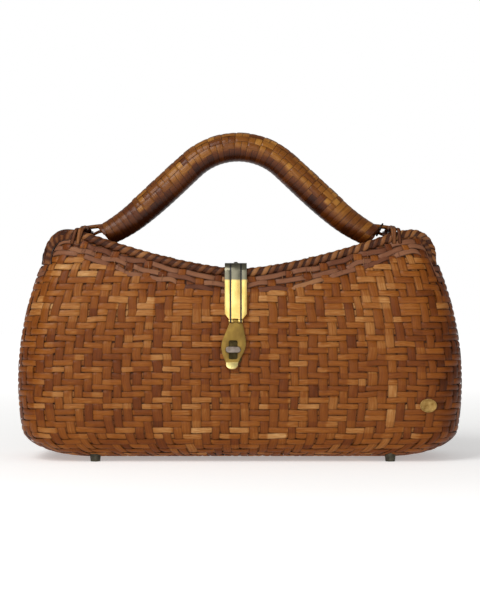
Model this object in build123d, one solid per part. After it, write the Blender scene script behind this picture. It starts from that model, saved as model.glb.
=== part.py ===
from build123d import *
import math
import os

# Basket box bag: a woven cane box with a hinged lid, a cane-wrapped arch handle and a brass turn hasp.
# Millimetres, +Z up, front towards -Y. The bag stands on its four studs at z = 0.

os.makedirs("parts", exist_ok=True)

# Driving dimensions of the woven box
belly_half_width = 159.5
belly_height = 58.0
side_bulge_radius = 217.0
belly_half_depth = 48.5
depth_belly_height = 30.0
front_bulge_radius = 487.0
plan_corner_radius = 28.0
plan_corner_margin = 1.5
base_height = 3.6
base_rise = 19.0
base_inset_x = 40.0
base_inset_y = 18.0
wall = 3.0

# Top outline: a saddle between two round shoulders
saddle_height = 137.6
shoulder_height = 165.8
shoulder_corner_radius = 19.0
saddle_power = 1.5
shoulder_flat = 8.0
lid_side_height = 140.0
lid_side_margin = 1.0
rim_band = 6.6
rim_proud = 1.6
panel_recess = 1.0
panel_thickness = 2.6
lid_gap = 0.4
piece_gap = 0.15

# Handle
handle_x = -1.5
handle_bend_radius = 50.0
handle_rise = 57.9
handle_foot_drop = 6.6
handle_end_inset = 22.0
handle_mid_radius = 10.8
handle_end_radius = 8.2
handle_core_radius = 6.0
handle_core_end_radius = 4.6
core_gap = 0.1
stub_radius = 1.8
stub_rise = 3.2
stub_end_outset = 0.5
lashing_width = 7.4
lashing_thickness = 1.2
lashing_inset = 5.0
lashing_drop = 9.5

# Lid hinges
hinge_x = 60.0
hinge_width = 16.0
hinge_leaf_drop = 11.0
hinge_leaf_rise = 5.8
hinge_leaf_thickness = 1.0
hinge_knuckle_radius = 2.2
hinge_pin_radius = 1.0
running_gap = 0.06
knuckle_gap = 0.3
rivet_radius = 1.0
rivet_head_radius = 1.9
rivet_head_height = 0.9
upper_rivet_rise = 1.2

# Hasp and turn bar
hasp_x = -3.0
strap_width = 15.6
strap_thickness = 1.0
strap_bend_radius = 6.5
strap_top_length = 24.0
strap_groove_spacing = 7.4
strap_groove_width = 0.9
strap_groove_depth = 0.3
strap_chamfer_x = 3.0
strap_chamfer_z = 4.6
hasp_knuckle_radius = 1.35
hasp_pin_radius = 0.6
hasp_knuckle_width = 3.1
lock_height = 79.5
lock_plate_width = 12.0
lock_plate_length = 17.6
lock_plate_thickness = 1.0
plate_clearance = 0.35
plate_thickness = 1.0
plate_hinge_to_lock = 20.4
plate_lean = 1.8
plate_top_width = 9.4
plate_belly_width = 17.0
plate_belly_drop = 18.6
plate_tip_width = 8.4
plate_tip_drop = 29.6
slot_width = 6.2
slot_length = 13.4
tab_length = 5.2
tab_tilt = 32.0
tab_corner_radius = 3.6
bar_length = 10.8
bar_width = 4.5
bar_thickness = 2.0
bar_gap = 0.4
spindle_radius = 1.4
boss_radius = 2.5

# Feet and badge
foot_left_inset = 56.5
foot_right_inset = 52.5
foot_inset_y = 13.5
foot_top_radius = 4.6
foot_floor_radius = 3.4
foot_shank_radius = 1.2
foot_top_height = 10.0
foot_shank_length = 10.4
washer_radius = 4.0
washer_thickness = 0.8
badge_inset = 27.0
badge_height = 40.5
badge_half_width = 6.0
badge_half_height = 4.8
badge_thickness = 1.2
badge_rim = 0.8


def side_half_width(z):
    """Half width of the box on its side arc, before the base rounding."""
    return belly_half_width - (z - belly_height) ** 2 / (2 * side_bulge_radius)


def front_half_depth(z):
    """Half depth of the box on its front arc, before the base rounding."""
    return belly_half_depth - (z - depth_belly_height) ** 2 / (2 * front_bulge_radius)


def front_slope(z):
    """How much the half depth falls for each millimetre of height."""
    return (z - depth_belly_height) / front_bulge_radius


# Places that follow the box's own size
lid_side_drop_x = side_half_width(lid_side_height) - lid_side_margin
saddle_span = lid_side_drop_x - shoulder_corner_radius - shoulder_flat
stub_height = shoulder_height + stub_rise
stub_end_x = saddle_span + stub_end_outset
lashing_x = saddle_span - lashing_inset
handle_end_x = saddle_span - handle_end_inset
handle_top_height = stub_height + handle_rise
foot_left_x = foot_left_inset - belly_half_width
foot_right_x = belly_half_width - foot_right_inset
foot_y = belly_half_depth - foot_inset_y
badge_x = belly_half_width - badge_inset
lock_x = hasp_x - plate_lean


def box_section(angle, z_side, grow):
    """One level of the box form: angle 0 is the flat base, 90 the foot of the wall."""
    down = math.cos(math.radians(angle))
    out = math.sin(math.radians(angle))
    z = base_height + base_rise * (1 - down) if z_side is None else z_side
    half_width = side_half_width(z) - base_inset_x * (1 - out) + grow * out
    half_depth = front_half_depth(z) - base_inset_y * (1 - out) + grow * out
    radius = plan_corner_radius - 0.85 * base_inset_y * (1 - out) + grow * out
    taper = (belly_half_depth - front_half_depth(z)) * 0.25
    corner = min(radius - taper, half_depth - plan_corner_margin)
    level = z - grow * down
    return Plane.XY.offset(level) * RectangleRounded(2 * half_width, 2 * half_depth, corner)


def box_form(grow):
    """The solid form of the box, grown outwards by a distance."""
    base_levels = [box_section(angle, None, grow) for angle in (0, 25, 50, 72, 90)]
    wall_levels = [box_section(90, z, grow) for z in (45, 75, 105, 135, 160, 185)]
    return loft(base_levels + wall_levels)


def saddle_z(x):
    """Height of the lid's edge over the middle of the bag."""
    rise = shoulder_height - saddle_height
    return saddle_height + rise * (abs(x) / saddle_span) ** saddle_power


def outline_face(inset):
    """Front outline below the lid's edge, moved inwards by a distance."""
    top = shoulder_height - inset
    side = lid_side_drop_x - inset
    radius = shoulder_corner_radius - inset
    corner_x = side - radius
    inner_xs = [0.22 * saddle_span, 0.45 * saddle_span, 0.68 * saddle_span, 0.88 * saddle_span]
    rising = []
    for x in inner_xs:
        slope = saddle_power * (saddle_z(x) - saddle_height) / x
        lean = math.hypot(1, slope)
        rising.append((x + inset * slope / lean, saddle_z(x) - inset / lean))
    left = [(-x, z) for x, z in reversed(rising)]
    points = [(-corner_x, top)] + left + [(0, saddle_height - inset)] + rising + [(corner_x, top)]
    with BuildSketch(Plane.XZ) as sketch:
        with BuildLine():
            Spline(*points, tangents=[(1, 0), (1, 0)])
            RadiusArc((corner_x, top), (side, top - radius), radius)
            Line((side, top - radius), (side, -50))
            Line((side, -50), (-side, -50))
            Line((-side, -50), (-side, top - radius))
            RadiusArc((-side, top - radius), (-corner_x, top), radius)
        make_face()
    return sketch.sketch


def outline_block(inset):
    """The outline face as a block that runs through the whole depth."""
    return extrude(outline_face(inset), amount=80, both=True)


def sides_below(height):
    """Everything lower than a height beyond the shoulders."""
    span = 200.0
    inner_x = lid_side_drop_x - shoulder_corner_radius
    block = Box(span, 300, 400)
    return [Pos(sign * (inner_x + span / 2), 0, height - 200) * block for sign in (-1, 1)]


def rivet(centre, normal, grip):
    """A domed rivet: its head seats at the centre and its shank runs back by the grip."""
    plane = Plane(origin=centre, z_dir=normal)
    head = Cone(rivet_head_radius, rivet_head_radius * 0.45, rivet_head_height,
                align=(Align.CENTER, Align.CENTER, Align.MIN))
    shank = Cylinder(rivet_radius, grip, align=(Align.CENTER, Align.CENTER, Align.MAX))
    return plane * (head + shank)


def rivet_hole(centre, normal, grip):
    """The clearance hole of a rivet."""
    plane = Plane(origin=centre, z_dir=normal)
    hole = Cylinder(rivet_radius + running_gap, grip + 4, align=(Align.CENTER, Align.CENTER, Align.MAX))
    return plane * Pos(0, 0, 2) * hole


def x_cylinder(radius, centre_x, width, y, z):
    """A cylinder along X."""
    return Pos(centre_x, y, z) * Rot(0, 90, 0) * Cylinder(radius, width)


nodes = {}

# Box forms that the pieces share
outer_form = box_form(0)
inner_form = box_form(-wall)
rim_form = box_form(rim_proud)
seat_form = box_form(piece_gap)

# Woven box, open at the top
basket_walls = outer_form - inner_form
basket_top = outline_block(rim_band + lid_gap)
for side_block in sides_below(lid_side_height - lid_gap):
    basket_top = basket_top + side_block
basket = basket_walls & basket_top

# Lid rim and lid panel
lid_zone = outline_block(0) - outline_block(rim_band)
for side_block in sides_below(lid_side_height):
    lid_zone = lid_zone - side_block
lid_rim = (rim_form - inner_form) & lid_zone
panel_form = box_form(-wall - piece_gap)
panel_zone = outline_block(panel_recess) - outline_block(panel_recess + panel_thickness)
for side_block in sides_below(lid_side_height + lid_gap):
    panel_zone = panel_zone - side_block
lid_panel = panel_form & panel_zone
washer_form = box_form(-wall - piece_gap) - box_form(-wall - piece_gap - washer_thickness)

# Feet: tapered studs seated on the rounded base, with a shank and a washer inside
feet = {}
washers = []
for side, x in (("left", foot_left_x), ("right", foot_right_x)):
    for face, y in (("front", -foot_y), ("back", foot_y)):
        stud = Pos(x, y, 0) * Cone(foot_floor_radius, foot_top_radius, foot_top_height,
                                   align=(Align.CENTER, Align.CENTER, Align.MIN))
        stud = stud - seat_form
        shank = Pos(x, y, 2.0) * Cylinder(foot_shank_radius, foot_shank_length,
                                          align=(Align.CENTER, Align.CENTER, Align.MIN))
        hole = Pos(x, y, 0) * Cylinder(foot_shank_radius + running_gap, 40)
        basket = basket - hole
        feet[f"foot_{face}_{side}"] = stud + shank
        disc = Pos(x, y, 0) * Cylinder(washer_radius, 40)
        washers.append((washer_form & disc) - hole)

# Lid hinges on the back: the axis lies on the parting line at the hinges
hinge_slope = saddle_power * (saddle_z(hinge_x) - saddle_height) / hinge_x
hinge_z = saddle_z(hinge_x) - rim_band * math.hypot(1, hinge_slope)
hinge_wall_y = front_half_depth(hinge_z)
hinge_y = hinge_wall_y + rim_proud + piece_gap + hinge_leaf_thickness
hinge_tilt = math.degrees(math.atan(front_slope(hinge_z)))
knuckle_width = (hinge_width - 2 * knuckle_gap) / 3
hinge_nodes = {}
hinge_rivets_lower = []
hinge_rivets_upper = []
for side, x in (("left", -hinge_x), ("right", hinge_x)):
    wall_plane = Pos(x, hinge_wall_y, hinge_z) * Rot(hinge_tilt, 0, 0)
    low_leaf_y = piece_gap + hinge_leaf_thickness / 2
    low_leaf = wall_plane * Pos(0, low_leaf_y, -hinge_leaf_drop / 2) * Box(
        hinge_width, hinge_leaf_thickness, hinge_leaf_drop)
    high_leaf_y = rim_proud + piece_gap + hinge_leaf_thickness / 2
    high_leaf = wall_plane * Pos(0, high_leaf_y, hinge_leaf_rise / 2) * Box(
        hinge_width, hinge_leaf_thickness, hinge_leaf_rise)
    axis_y = hinge_y + hinge_leaf_thickness / 2
    step = knuckle_width + knuckle_gap
    bore = x_cylinder(hinge_pin_radius + running_gap, x, hinge_width + 2, axis_y, hinge_z)
    middle_space = x_cylinder(
        hinge_knuckle_radius + knuckle_gap, x, knuckle_width + 2 * knuckle_gap, axis_y, hinge_z)
    space_width = knuckle_width + knuckle_gap
    end_space = [
        x_cylinder(hinge_knuckle_radius + knuckle_gap, x + sign * step, space_width, axis_y, hinge_z)
        for sign in (-1, 1)
    ]
    lower = low_leaf - middle_space
    for sign in (-1, 1):
        lower = lower + x_cylinder(hinge_knuckle_radius, x + sign * step, knuckle_width, axis_y, hinge_z)
    upper = high_leaf - end_space[0] - end_space[1]
    upper = upper + x_cylinder(hinge_knuckle_radius, x, knuckle_width, axis_y, hinge_z)
    low_normal = (0, math.cos(math.radians(hinge_tilt)), math.sin(math.radians(hinge_tilt)))
    for sign in (-1, 1):
        low_seat = wall_plane * Pos(sign * 5.0, piece_gap + hinge_leaf_thickness + 0.05, -hinge_leaf_drop + 3.0)
        high_seat = wall_plane * Pos(sign * 5.0, rim_proud + piece_gap + hinge_leaf_thickness + 0.05,
                                     hinge_knuckle_radius + upper_rivet_rise)
        low_grip = hinge_leaf_thickness + wall + 1.0
        high_grip = hinge_leaf_thickness + rim_proud + wall - 0.5
        hinge_rivets_lower.append(rivet(low_seat.position, low_normal, low_grip))
        hinge_rivets_upper.append(rivet(high_seat.position, low_normal, high_grip))
        lower = lower - rivet_hole(low_seat.position, low_normal, low_grip)
        upper = upper - rivet_hole(high_seat.position, low_normal, high_grip)
        basket = basket - rivet_hole(low_seat.position, low_normal, low_grip)
        lid_rim = lid_rim - rivet_hole(high_seat.position, low_normal, high_grip)
    relief_width = hinge_width + 2 * knuckle_gap
    knuckle_relief = x_cylinder(hinge_knuckle_radius + knuckle_gap, x, relief_width, axis_y, hinge_z)
    leaf_relief = wall_plane * Pos(0, 5 - piece_gap, -10 + knuckle_gap) * Box(relief_width, 10, 20)
    lid_rim = lid_rim - knuckle_relief - leaf_relief
    hinge_nodes[f"hinge_lower_leaf_{side}"] = lower - bore
    hinge_nodes[f"hinge_upper_leaf_{side}"] = upper - bore
    hinge_nodes[f"hinge_pin_{side}"] = x_cylinder(hinge_pin_radius, x, hinge_width, axis_y, hinge_z)

# Lock plate on the front wall; everything on it shares one plane
lock_wall_y = -front_half_depth(lock_height)
lock_tilt = math.degrees(math.atan(front_slope(lock_height)))
lock_plane = Plane(
    origin=(lock_x, lock_wall_y, lock_height),
    x_dir=(1, 0, 0),
    z_dir=(0, -math.cos(math.radians(lock_tilt)), math.sin(math.radians(lock_tilt))),
)
lock_face = piece_gap + lock_plate_thickness
plate_back = lock_face + plate_clearance
plate_mid = plate_back + plate_thickness / 2
bar_back = plate_back + plate_thickness + bar_gap
base_plate = Pos(0, 0, piece_gap) * extrude(
    RectangleRounded(lock_plate_width, lock_plate_length, 2.0), amount=lock_plate_thickness)
boss = Pos(0, 0, piece_gap) * Cylinder(boss_radius, bar_back - 0.2 - piece_gap,
                                       align=(Align.CENTER, Align.CENTER, Align.MIN))
spindle_hole = Cylinder(spindle_radius + running_gap, 40)
lock_rivet_drop = lock_plate_length / 2 - 2.4
lock_plate = lock_plane * ((base_plate + boss) - spindle_hole)
lock_normal = lock_plane.z_dir
basket = basket - lock_plane * Cylinder(spindle_radius + 0.6, 20)
lock_rivets = []
for sign in (-1, 1):
    seat = (lock_plane * Pos(0, sign * lock_rivet_drop, lock_face - 0.45)).position
    pin = Plane(origin=seat, z_dir=lock_normal) * Cylinder(
        rivet_radius, 0.4 + wall + 1.2, align=(Align.CENTER, Align.CENTER, Align.MAX))
    hole = Plane(origin=seat, z_dir=lock_normal) * Cylinder(rivet_radius + running_gap, 16)
    lock_rivets.append(pin)
    lock_plate = lock_plate - hole
    basket = basket - hole
turn_bar = Pos(0, 0, bar_back) * extrude(SlotOverall(bar_length, bar_width), amount=bar_thickness)
turn_bar = fillet(turn_bar.faces().sort_by(Axis.Z)[-1].edges(), 0.6)
turn_bar = turn_bar + Cylinder(spindle_radius, bar_back + 0.2 + wall,
                               align=(Align.CENTER, Align.CENTER, Align.MIN)).moved(Pos(0, 0, -wall))
turn_bar = lock_plane * turn_bar

# Hasp hinge axis, on the same plane above the lock
hasp_axis = (lock_plane * Pos(plate_lean, plate_hinge_to_lock, plate_mid)).position
plate_plane = Plane(origin=hasp_axis, x_dir=(1, 0, 0), z_dir=lock_normal)

# Slotted plate with its lift tab, hanging from the axis
knuckle_step = hasp_knuckle_width + 0.2
with BuildSketch() as plate_sketch:
    with BuildLine():
        half_top = plate_top_width / 2
        half_belly = plate_belly_width / 2
        half_tip = plate_tip_width / 2
        neck = -hasp_knuckle_radius - 0.4
        belly_x = -plate_lean * plate_belly_drop / plate_hinge_to_lock
        tip_x = -plate_lean * plate_tip_drop / plate_hinge_to_lock
        Line((-half_top, neck), (half_top, neck))
        Spline((half_top, neck), (belly_x + half_belly, -plate_belly_drop),
               (tip_x + half_tip, -plate_tip_drop), tangents=[(0.2, -1), (-0.5, -1)])
        Line((tip_x + half_tip, -plate_tip_drop), (tip_x - half_tip, -plate_tip_drop))
        Spline((tip_x - half_tip, -plate_tip_drop), (belly_x - half_belly, -plate_belly_drop),
               (-half_top, neck), tangents=[(-0.5, 1), (0.3, 1)])
    make_face()
plate = extrude(plate_sketch.sketch, amount=plate_thickness / 2, both=True)
neck_strip = Pos(0, neck / 2 - 0.2, 0) * Box(hasp_knuckle_width, -neck + 0.4, plate_thickness)
plate_knuckle = Rot(0, 90, 0) * Cylinder(hasp_knuckle_radius, hasp_knuckle_width)
slot = Pos(-plate_lean, -plate_hinge_to_lock, 0) * extrude(
    RectangleRounded(slot_width, slot_length, 1.2), amount=4, both=True)
tab = extrude(RectangleRounded(plate_tip_width, 2 * tab_length, tab_corner_radius),
              amount=plate_thickness / 2, both=True)
tab = tab & (Pos(0, 0.2 - tab_length, 0) * Box(20, 2 * tab_length, 5))
tab = Pos(tip_x, -plate_tip_drop, 0) * Rot(-tab_tilt, 0, 0) * tab
hasp_plate = plate_plane * ((plate + neck_strip + plate_knuckle + tab) - slot
                            - Rot(0, 90, 0) * Cylinder(hasp_pin_radius + running_gap, 20))

# Strap over the rim, down to the hasp axis
strap_mid = strap_thickness / 2
strap_top_z = saddle_z(strap_width / 2 + abs(hasp_x)) + rim_proud + piece_gap + strap_mid
strap_front_y = -front_half_depth(saddle_height - rim_band) - rim_proud - 2 * piece_gap - strap_mid - 0.5
strap_path = FilletPolyline(
    (hasp_x, strap_front_y + strap_top_length, strap_top_z),
    (hasp_x, strap_front_y, strap_top_z),
    (hasp_x, hasp_axis.Y, hasp_axis.Z),
    radius=strap_bend_radius,
)
strap_section = Plane(origin=strap_path @ 0, x_dir=(1, 0, 0), z_dir=strap_path % 0) * Rectangle(
    strap_width, strap_thickness)
strap = sweep(strap_section, path=strap_path)
leg_dir = strap_path % 1
leg_plane = Plane(origin=hasp_axis, x_dir=(1, 0, 0), z_dir=(0, leg_dir.Z, -leg_dir.Y))
leg_length = math.hypot(hasp_axis.Y - strap_front_y, hasp_axis.Z - strap_top_z) - strap_bend_radius
for sign in (-1, 1):
    trim = make_face(Polyline(
        (sign * (strap_width / 2 - strap_chamfer_x), -3),
        (sign * (strap_width / 2 - strap_chamfer_x), 1.2),
        (sign * (strap_width / 2 + 0.5), 1.2 + strap_chamfer_z),
        (sign * (strap_width / 2 + 0.5), -3),
        close=True,
    ))
    strap = strap - leg_plane * extrude(trim, amount=3, both=True)
    groove = Pos(sign * strap_groove_spacing / 2, leg_length / 2 + 1.6, strap_mid) * Box(
        strap_groove_width, leg_length, 2 * strap_groove_depth)
    strap = strap - leg_plane * groove
strap = strap - x_cylinder(hasp_knuckle_radius + 0.3, hasp_x, 30, hasp_axis.Y, hasp_axis.Z)
for sign in (-1, 1):
    knuckle = x_cylinder(hasp_knuckle_radius, hasp_x + sign * knuckle_step, hasp_knuckle_width,
                         hasp_axis.Y, hasp_axis.Z)
    bridge = leg_plane * Pos(sign * knuckle_step, (hasp_knuckle_radius + 0.6) / 2, 0) * Box(
        hasp_knuckle_width, hasp_knuckle_radius + 0.8, strap_thickness)
    strap = strap + knuckle + bridge
strap = strap - x_cylinder(hasp_pin_radius + 0.02, hasp_x, 30, hasp_axis.Y, hasp_axis.Z)
hasp_pin = x_cylinder(hasp_pin_radius, hasp_x, 3 * hasp_knuckle_width + 0.4, hasp_axis.Y, hasp_axis.Z)
hasp_rivets = []
for back in (5.0, 14.0):
    seat = (hasp_x, strap_front_y + strap_top_length - back + 2.0, strap_top_z + strap_mid + 0.05)
    grip = strap_top_z + strap_mid - saddle_height + panel_recess + panel_thickness + 1.0
    hasp_rivets.append(rivet(seat, (0, 0, 1), grip))
    strap = strap - rivet_hole(seat, (0, 0, 1), grip)
    lid_panel = lid_panel - rivet_hole(seat, (0, 0, 1), grip)
# The rim is pressed round under the strap's bend
bend_centre_y = strap_front_y + strap_bend_radius
bend_centre_z = strap_top_z - strap_bend_radius
relief_radius = strap_bend_radius - strap_mid - piece_gap
relief = Pos(hasp_x, bend_centre_y - 10, bend_centre_z + 10) * Box(strap_width + 0.6, 20, 20)
relief = relief - x_cylinder(relief_radius, hasp_x, 40, bend_centre_y, bend_centre_z)
lid_rim = lid_rim - relief

# Badge on the lower right of the front
badge_turn = math.degrees(math.asin((badge_x - (side_half_width(badge_height) - plan_corner_radius))
                                    / plan_corner_radius))
badge_drop = plan_corner_radius * (1 - math.cos(math.radians(badge_turn)))
badge_plane = Pos(badge_x, -front_half_depth(badge_height) + badge_drop - piece_gap, badge_height) * Rot(
    0, 0, badge_turn) * Rot(90, 0, 0)
badge = extrude(Ellipse(badge_half_width, badge_half_height), amount=badge_thickness)
badge_field = Pos(0, 0, badge_thickness - 0.35) * extrude(
    Ellipse(badge_half_width - badge_rim, badge_half_height - badge_rim), amount=1)
badge = badge_plane * (badge - badge_field)

# Handle: a bent cane core with a stub at each end, inside a woven sleeve
bend_z = handle_top_height - handle_bend_radius
foot_below_bend = bend_z - (stub_height - handle_foot_drop)
foot_distance = math.hypot(handle_end_x, foot_below_bend)
leg_angle = math.atan2(foot_below_bend, handle_end_x) + math.asin(handle_bend_radius / foot_distance)
leg_sin = math.sin(leg_angle)
leg_cos = math.cos(leg_angle)
leg_top_x = handle_bend_radius * leg_sin
leg_top_z = bend_z + handle_bend_radius * leg_cos
leg_run = (handle_end_x - leg_top_x) / leg_cos
leg_foot_z = leg_top_z - leg_run * leg_sin


def handle_form(mid_radius, end_radius):
    """The arch as a torus stretch between two tapered legs."""
    bend = ThreePointArc((-leg_top_x, 0, leg_top_z), (0, 0, handle_top_height), (leg_top_x, 0, leg_top_z))
    arch = sweep(Plane(origin=bend @ 0, z_dir=bend % 0) * Circle(mid_radius), path=bend)
    for sign in (-1, 1):
        leg_plane_up = Plane(
            origin=(sign * leg_top_x, 0, leg_top_z),
            x_dir=(0, 1, 0),
            z_dir=(sign * leg_cos, 0, -leg_sin),
        )
        leg = Cone(mid_radius, end_radius, leg_run, align=(Align.CENTER, Align.CENTER, Align.MIN))
        arch = arch + leg_plane_up * leg
    return Pos(handle_x, 0, 0) * arch


handle_core = handle_form(handle_core_radius, handle_core_end_radius)
handle_wrap = handle_form(handle_mid_radius, handle_end_radius) - handle_form(
    handle_core_radius + core_gap, handle_core_end_radius + core_gap)
for sign in (-1, 1):
    stub_inner_x = handle_end_x - 7.0
    stub_length = stub_end_x - stub_inner_x
    stub = x_cylinder(stub_radius, handle_x + sign * (stub_inner_x + stub_length / 2), stub_length, 0, stub_height)
    handle_core = handle_core + stub
    handle_wrap = handle_wrap - x_cylinder(stub_radius + core_gap, handle_x + sign * (stub_inner_x + 40), 80,
                                           0, stub_height)

# Lashings: a cane band over each stub and down over both rims
lashings = {}
for side, sign in (("left", -1), ("right", 1)):
    x = sign * lashing_x + handle_x
    low_z = shoulder_height - lashing_drop
    edge_y = front_half_depth(low_z) + rim_proud + piece_gap + lashing_thickness / 2 + 0.2
    edge_z = shoulder_height + piece_gap + lashing_thickness / 2 + 0.2
    over_z = stub_height + stub_radius + running_gap + lashing_thickness / 2 + 0.1
    path = FilletPolyline(
        (x, -edge_y, low_z),
        (x, -edge_y, edge_z),
        (x, -4, over_z),
        (x, 4, over_z),
        (x, edge_y, edge_z),
        (x, edge_y, low_z),
        radius=1.2,
    )
    section = Plane(origin=path @ 0, x_dir=(1, 0, 0), z_dir=path % 0) * Rectangle(
        lashing_width, lashing_thickness)
    lashings[side] = sweep(section, path=path)

nodes["basket_shell"] = basket
nodes["lid_rim"] = lid_rim
nodes["lid_panel"] = lid_panel
nodes.update(feet)
nodes["foot_washers"] = Compound(children=washers)
nodes.update(hinge_nodes)
nodes["hinge_rivets_lower"] = Compound(children=hinge_rivets_lower)
nodes["hinge_rivets_upper"] = Compound(children=hinge_rivets_upper)
nodes["lock_plate"] = lock_plate
nodes["lock_rivets"] = Compound(children=lock_rivets)
nodes["turn_bar"] = turn_bar
nodes["hasp_plate"] = hasp_plate
nodes["hasp_strap"] = strap
nodes["hasp_pin"] = hasp_pin
nodes["hasp_rivets"] = Compound(children=hasp_rivets)
nodes["badge"] = badge
nodes["handle_core"] = handle_core
nodes["handle_wrap"] = handle_wrap
nodes["handle_lashing_left"] = lashings["left"]
nodes["handle_lashing_right"] = lashings["right"]

# The bag stands with the middle of its box over the origin
lows = [node.bounding_box().min for node in nodes.values()]
highs = [node.bounding_box().max for node in nodes.values()]
centre_x = (min(low.X for low in lows) + max(high.X for high in highs)) / 2
centre_y = (min(low.Y for low in lows) + max(high.Y for high in highs)) / 2
floor_z = min(low.Z for low in lows)
centring = Pos(-centre_x, -centre_y, -floor_z)
for name, node in nodes.items():
    export_step(centring * node, f"parts/{name}.step")

print("shift", -centre_x, -centre_y, -floor_z)
print("lid hinge", 0, hinge_y + hinge_leaf_thickness / 2 - centre_y, hinge_z - floor_z)
print("hasp hinge", hasp_axis.X - centre_x, hasp_axis.Y - centre_y, hasp_axis.Z - floor_z)
print("lock", lock_x - centre_x, lock_wall_y - centre_y, lock_height - floor_z, "normal", lock_normal)
print("handle", 0, -centre_y, stub_height - floor_z)
print("leg foot z", leg_foot_z, "leg foot x", handle_end_x)
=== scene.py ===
import math
import bmesh
import bpy
import numpy as np
from mathutils import Matrix, Vector


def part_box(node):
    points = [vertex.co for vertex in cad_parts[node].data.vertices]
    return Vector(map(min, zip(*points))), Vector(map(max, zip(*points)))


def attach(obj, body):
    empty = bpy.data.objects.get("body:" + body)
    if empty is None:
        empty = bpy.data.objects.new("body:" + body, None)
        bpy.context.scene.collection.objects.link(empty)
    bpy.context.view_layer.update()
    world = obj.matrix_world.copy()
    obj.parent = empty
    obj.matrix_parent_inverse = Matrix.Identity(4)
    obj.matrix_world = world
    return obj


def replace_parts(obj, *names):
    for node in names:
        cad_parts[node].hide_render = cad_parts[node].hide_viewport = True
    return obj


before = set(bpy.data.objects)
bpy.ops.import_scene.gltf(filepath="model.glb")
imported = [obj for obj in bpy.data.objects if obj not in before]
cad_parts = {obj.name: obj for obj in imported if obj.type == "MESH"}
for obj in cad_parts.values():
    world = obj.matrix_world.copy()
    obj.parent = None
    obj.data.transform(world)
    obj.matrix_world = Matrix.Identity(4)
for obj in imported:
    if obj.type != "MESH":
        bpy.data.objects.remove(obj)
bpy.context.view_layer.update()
mm = 0.001
rng = np.random.default_rng(41)
collection = bpy.context.scene.collection
boxLow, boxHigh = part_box("basket_shell")
middleY = (boxLow.y + boxHigh.y) / 2 / mm  # the box form is symmetrical about this plane

cameraView = dict(height=0.1148, distance=1.15, lens=93.9, tilt=90.0)
cameraData = bpy.data.cameras.new("camera")
cameraData.lens = cameraView["lens"]
camera = bpy.data.objects.new("camera", cameraData)
camera.location = (0, -cameraView["distance"] + middleY * mm, cameraView["height"])
camera.rotation_euler = (math.radians(cameraView["tilt"]), 0, 0)
collection.objects.link(camera)
bpy.context.scene.camera = camera


def hexColor(code):
    channels = [int(code[i:i + 2], 16) / 255 for i in (1, 3, 5)]
    linear = [c / 12.92 if c <= 0.04045 else ((c + 0.055) / 1.055) ** 2.4 for c in channels]
    return (*linear, 1.0)


def addNode(tree, kind, inputs=None, **settings):
    node = tree.nodes.new(kind)
    for key, value in settings.items():
        setattr(node, key, value)
    for key, value in (inputs or {}).items():
        if isinstance(value, bpy.types.NodeSocket):
            tree.links.new(value, node.inputs[key])
        else:
            node.inputs[key].default_value = value
    return node


def newMaterial(name):
    material = bpy.data.materials.new(name)
    material.use_nodes = True
    material.node_tree.nodes.clear()
    return material, material.node_tree


def caneMaterial(name, look):
    material, tree = newMaterial(name)
    strip = addNode(tree, "ShaderNodeUVMap", uv_map="strip")
    tone = addNode(tree, "ShaderNodeAttribute", attribute_name="tone")
    place = addNode(tree, "ShaderNodeTexCoord")
    # split cane has long fibres, so the pattern is stretched along each strip; real ones are about
    # 0.15 mm wide, too fine to show at this size, and are drawn wider
    fibreUv = addNode(tree, "ShaderNodeMapping", {
        "Vector": strip.outputs[0], "Scale": (1 / look["fibreLength"], 1 / look["fibreWidth"], 1)})
    fibre = addNode(tree, "ShaderNodeTexNoise", {
        "Vector": fibreUv.outputs[0], "Scale": 1.0, "Detail": 3.0, "Roughness": 0.6})
    blotch = addNode(tree, "ShaderNodeTexNoise", {
        "Vector": place.outputs["Object"], "Scale": 1 / (look["blotch"] * mm), "Detail": 2.0})
    withFibre = addNode(tree, "ShaderNodeMath", {
        0: fibre.outputs[0], 1: look["fibreTone"], 2: tone.outputs["Fac"]}, operation="MULTIPLY_ADD")
    withBlotch = addNode(tree, "ShaderNodeMath", {
        0: blotch.outputs[0], 1: look["blotchTone"], 2: withFibre.outputs[0]}, operation="MULTIPLY_ADD")
    shifted = addNode(tree, "ShaderNodeMath", {
        0: withBlotch.outputs[0], 1: (look["fibreTone"] + look["blotchTone"]) / 2}, operation="SUBTRACT")
    color = addNode(tree, "ShaderNodeValToRGB", {0: shifted.outputs[0]})
    ramp = color.color_ramp
    while len(ramp.elements) < len(look["ramp"]):
        ramp.elements.new(0.5)
    for element, (position, code) in zip(ramp.elements, look["ramp"]):
        element.position = position
        element.color = hexColor(code)
    # darker along the strip's edges: painted shade where the flat strip rounds off
    across = addNode(tree, "ShaderNodeSeparateXYZ", {0: strip.outputs[0]})
    edge = addNode(tree, "ShaderNodeMath", {0: across.outputs[1]}, operation="ABSOLUTE")
    edgeShadeMask = addNode(tree, "ShaderNodeMapRange", {
        "Value": edge.outputs[0], "From Min": look["edgeStart"], "From Max": look["edgeEnd"]})
    edgeShaded = addNode(tree, "ShaderNodeMix", {
        0: edgeShadeMask.outputs[0], 6: color.outputs[0], 7: hexColor(look["edge"])}, data_type="RGBA")
    rough = addNode(tree, "ShaderNodeMapRange", {
        "Value": fibre.outputs[0], "To Min": look["roughLow"], "To Max": look["roughHigh"]})
    bump = addNode(tree, "ShaderNodeBump", {
        "Height": fibre.outputs[0], "Strength": look["bump"], "Distance": 0.2 * mm})
    shader = addNode(tree, "ShaderNodeBsdfPrincipled", {
        "Base Color": edgeShaded.outputs[2], "Roughness": rough.outputs[0], "Normal": bump.outputs[0],
        "Coat Weight": look["coat"], "Coat Roughness": 0.25, "IOR": 1.5, "Specular IOR Level": look["shine"]})
    addNode(tree, "ShaderNodeOutputMaterial", {"Surface": shader.outputs[0]})
    return material


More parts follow.
